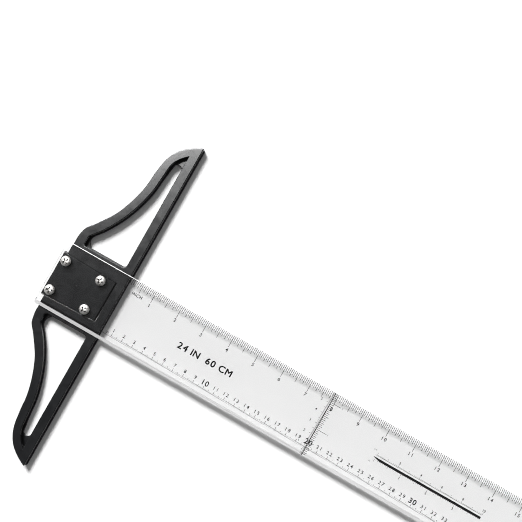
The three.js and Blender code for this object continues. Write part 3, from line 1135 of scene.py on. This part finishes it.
def cross_scale(sheet, line):
    """A scale across the blade at 20 centimetres, with millimetres behind and sixteenths in front."""
    x = 200.0
    behind, before = x - 0.2, x + 0.2
    width = 2 * BLADE_HALF_WIDTH
    sheet.upright(x, 0.7, -BLADE_HALF_WIDTH + 0.2, BLADE_HALF_WIDTH - 0.2)
    for n in range(1, round(width)):
        reach = graduation(n, ((1, 2.0), (5, 2.9), (10, 3.5)))
        sheet.level(n - BLADE_HALF_WIDTH, line, behind - reach, behind)
    for n in range(1, int(width / INCH * 16) + 1):
        reach = graduation(n, ((1, 2.8), (2, 3.6), (8, 4.6), (16, 9.8)))
        sheet.level(n * INCH / 16 - BLADE_HALF_WIDTH, line * 1.4, before, before + reach)
    for centimetre in range(1, 6):
        y = 10 * centimetre - 30
        sheet.text(str(centimetre), x - 8.2, y, height=2.2, weight=0.01)
    for inch in (1, 2):
        sheet.text(str(inch), x + 11.3, inch * INCH - BLADE_HALF_WIDTH, height=1.5)


def centre_scale(sheet, line):
    """A short double scale on the centreline, metric above a heavy line and inches below it."""
    zero, length = 255.5, 100
    inch_zero = zero - 0.4
    above, below = 1.3, -2.5
    sheet.level(above, 0.22, zero - 1.5, zero + length)
    sheet.block(zero + 4.0, zero + length, below, -0.4)
    # The heavy line starts as a wedge, in six steps.
    for k in range(6):
        sheet.block(zero - 2.2 + k, zero - 1.2 + k + 0.3, -0.85 - 0.3 * k, -0.35)
    for n in range(length + 1):
        rise = graduation(n, ((1, 0.9), (5, 1.4), (10, 1.9), (20, 2.6)))
        sheet.upright(zero + n, line * 0.8, above, above + rise)
    for n in range(int((zero + length - inch_zero) / INCH * 16) + 1):
        drop = graduation(n, ((1, 0.7), (4, 1.2), (8, 1.6), (16, 2.2)))
        sheet.upright(inch_zero + n * INCH / 16, line * 0.8, below - drop, below)
    for n in range(1, 6):
        sheet.text(str(2 * n), zero + 20 * n, 5.2, height=2.0, weight=0.02, pitch=1.5)
    for n in range(1, 4):
        sheet.text(str(n), inch_zero + n * INCH, -6.1, height=2.0, weight=0.02)
    sheet.text("cm", zero - 3.5, 5.4, height=1.3)
    sheet.text("in", zero - 3.5, -5.6, height=1.5)


class OBJECT_OT_tsquare_scales(bpy.types.Operator):
    """Print the inch, centimetre, cross and centre scales and the size legend on the blade"""
    bl_idname = "object.tsquare_scales"
    bl_label = "Printed scales"

    def execute(self, context):
        settings = context.scene.tsquare_ink
        film = settings.thickness / MM
        inch_line, metric_line = settings.inch_line / MM, settings.metric_line / MM
        ink = screen_ink("screen_ink_black", "#0c0c0d", "#1d1d1e")
        for name, draw, line in (("inch_scale", inch_scale, inch_line),
                                 ("centimetre_scale", metric_scale, metric_line),
                                 ("cross_scale", cross_scale, metric_line),
                                 ("centre_scale", centre_scale, metric_line)):
            sheet = InkSheet(film)
            draw(sheet, line)
            sheet.finish("printed_" + name, ink)
        sheet = InkSheet(film)
        x, y = LEGEND_AT
        # Four strikes a little apart make it bold and leave the corners of its letters open.
        for across in (-0.15, 0.15):
            for along in (-0.2, 0.2):
                sheet.text(settings.legend, x + along, y + across, LEGEND_HEIGHT, stretch=1.06)
        sheet.finish("printed_size_legend", ink)
        return {"FINISHED"}


# ---------------------------------------------------------------- studio
def lamp_at(name, kind, location, target, power):
    """A lamp of some kind, aimed at the target."""
    holder = bpy.data.objects.new(name, bpy.data.lights.new(name, kind))
    holder.data.energy = power
    holder.location = location
    holder.rotation_euler = (holder.location - Vector(target)).to_track_quat("Z", "Y").to_euler()
    bpy.context.scene.collection.objects.link(holder)
    return holder


def studio_world(strength):
    """White room with a darker ceiling and a darker far side, for the metal to mirror."""
    world = bpy.data.worlds.new("studio_room")
    world.use_nodes = True
    tree = world.node_tree
    tree.nodes.clear()
    place = add_node(tree, "ShaderNodeTexCoord").outputs["Generated"]
    split = add_node(tree, "ShaderNodeSeparateXYZ", links={"Vector": place})
    free_end_share, ceiling_share = -0.7, -0.8
    across = add_node(tree, "ShaderNodeMath", {1: free_end_share},
                      {0: split.outputs["X"], 2: split.outputs["Y"]}, operation="MULTIPLY_ADD")
    slant = add_node(tree, "ShaderNodeMath", {1: ceiling_share},
                     {0: split.outputs["Z"], 2: across.outputs[0]}, operation="MULTIPLY_ADD")
    ramp = add_node(tree, "ShaderNodeMapRange",
                    {"From Min": -1.0, "From Max": 0.6, "To Min": 0.3, "To Max": 1.5},
                    {"Value": slant.outputs[0]})
    light = add_node(tree, "ShaderNodeMath", {1: strength}, {0: ramp.outputs["Result"]},
                     operation="MULTIPLY")
    sky = add_node(tree, "ShaderNodeBackground", {"Color": (1.0, 1.0, 1.0, 1.0)},
                   {"Strength": light.outputs[0]})
    add_node(tree, "ShaderNodeOutputWorld", links={"Surface": sky.outputs["Background"]})
    return world


class OBJECT_OT_tsquare_studio(bpy.types.Operator):
    """Set up the pale floor, the soft light and the camera"""
    bl_idname = "object.tsquare_studio"
    bl_label = "Studio"

    def execute(self, context):
        settings = context.scene.tsquare_studio
        scene = context.scene

        sheet = bmesh.new()
        bmesh.ops.create_grid(sheet, x_segments=8, y_segments=8, size=FLOOR_REACH_MM)
        floor = new_piece("studio_floor", sheet)
        floor.location.z = (HEAD_LOW.z - FLOOR_GAP_MM) * MM
        floor.data.materials.append(matt_paper("studio_paper_white", "#f7f7f7"))

        turn, tilt = settings.view_turn, settings.view_tilt
        middle = Vector((*VIEW_CENTRE_MM, BLADE_LOW.z)) * MM
        right = Vector((math.cos(turn), math.sin(turn), 0))
        lean = Vector((*VIEW_LEAN, 0)) * math.sin(tilt)
        back = (Vector((0, 0, math.cos(tilt))) + lean).normalized()
        right = (right - back * right.dot(back)).normalized()
        up = back.cross(right)
        lens = bpy.data.cameras.new("camera")
        lens.sensor_width = 36
        lens.lens = lens.sensor_width * settings.distance / settings.field
        lens.shift_x, lens.shift_y = settings.frame_shift
        lens.clip_start, lens.clip_end = 0.05, 50
        camera = bpy.data.objects.new("camera", lens)
        camera.matrix_world = Matrix.Translation(middle + back * settings.distance) @ Matrix(
            (right, up, back)).transposed().to_4x4()
        scene.collection.objects.link(camera)
        scene.camera = camera

        key = lamp_at("distant_softbox", "SUN", KEY_FROM, (0, 0, 0), settings.key_strength)
        key.data.angle = settings.key_width
        sheen = lamp_at("sheen_softbox", "AREA", SHEEN_FROM, SHEEN_AT, settings.sheen_power)
        sheen.data.size = SHEEN_SIZE
        sheen.visible_diffuse = False
        scene.world = studio_world(settings.ambient)
        scene.view_settings.view_transform = "Standard"
        # The printed lines are about as fine as the render resolves, so nothing may smear them.
        scene.cycles.filter_width = 1.0
        scene.cycles.denoising_prefilter = "NONE"
        return {"FINISHED"}


# ---------------------------------------------------------------- panel and run
BUILD_STEPS = (
    OBJECT_OT_tsquare_head,
    OBJECT_OT_tsquare_plate,
    OBJECT_OT_tsquare_blade,
    OBJECT_OT_tsquare_screws,
    OBJECT_OT_tsquare_scales,
    OBJECT_OT_tsquare_studio,
)
SETTINGS = {
    "tsquare_head": TSquareHeadSettings,
    "tsquare_blade": TSquareBladeSettings,
    "tsquare_screws": TSquareScrewSettings,
    "tsquare_ink": TSquareInkSettings,
    "tsquare_studio": TSquareStudioSettings,
}


class VIEW3D_PT_tsquare(bpy.types.Panel):
    """Lists the steps that build the T-square, with their settings"""
    bl_idname = "VIEW3D_PT_tsquare"
    bl_label = "T-square"
    bl_space_type = "VIEW_3D"
    bl_region_type = "UI"
    bl_category = "T-square"

    def draw(self, context):
        for step in BUILD_STEPS:
            self.layout.operator(step.bl_idname)
        for name, group in SETTINGS.items():
            box = self.layout.box()
            for key in group.__annotations__:
                box.prop(getattr(context.scene, name), key)


def register():
    """Registers the settings, the steps and the panel."""
    for name, group in SETTINGS.items():
        bpy.utils.register_class(group)
        setattr(bpy.types.Scene, name, PointerProperty(type=group))
    for step in BUILD_STEPS:
        bpy.utils.register_class(step)
    bpy.utils.register_class(VIEW3D_PT_tsquare)


def unregister():
    """Undoes register."""
    bpy.utils.unregister_class(VIEW3D_PT_tsquare)
    for step in reversed(BUILD_STEPS):
        bpy.utils.unregister_class(step)
    for name, group in SETTINGS.items():
        delattr(bpy.types.Scene, name)
        bpy.utils.unregister_class(group)


def main():
    """Builds everything in order."""
    register()
    for step in BUILD_STEPS:
        group, name = step.bl_idname.split(".")
        getattr(getattr(bpy.ops, group), name)()


if __name__ == "__main__":
    main()
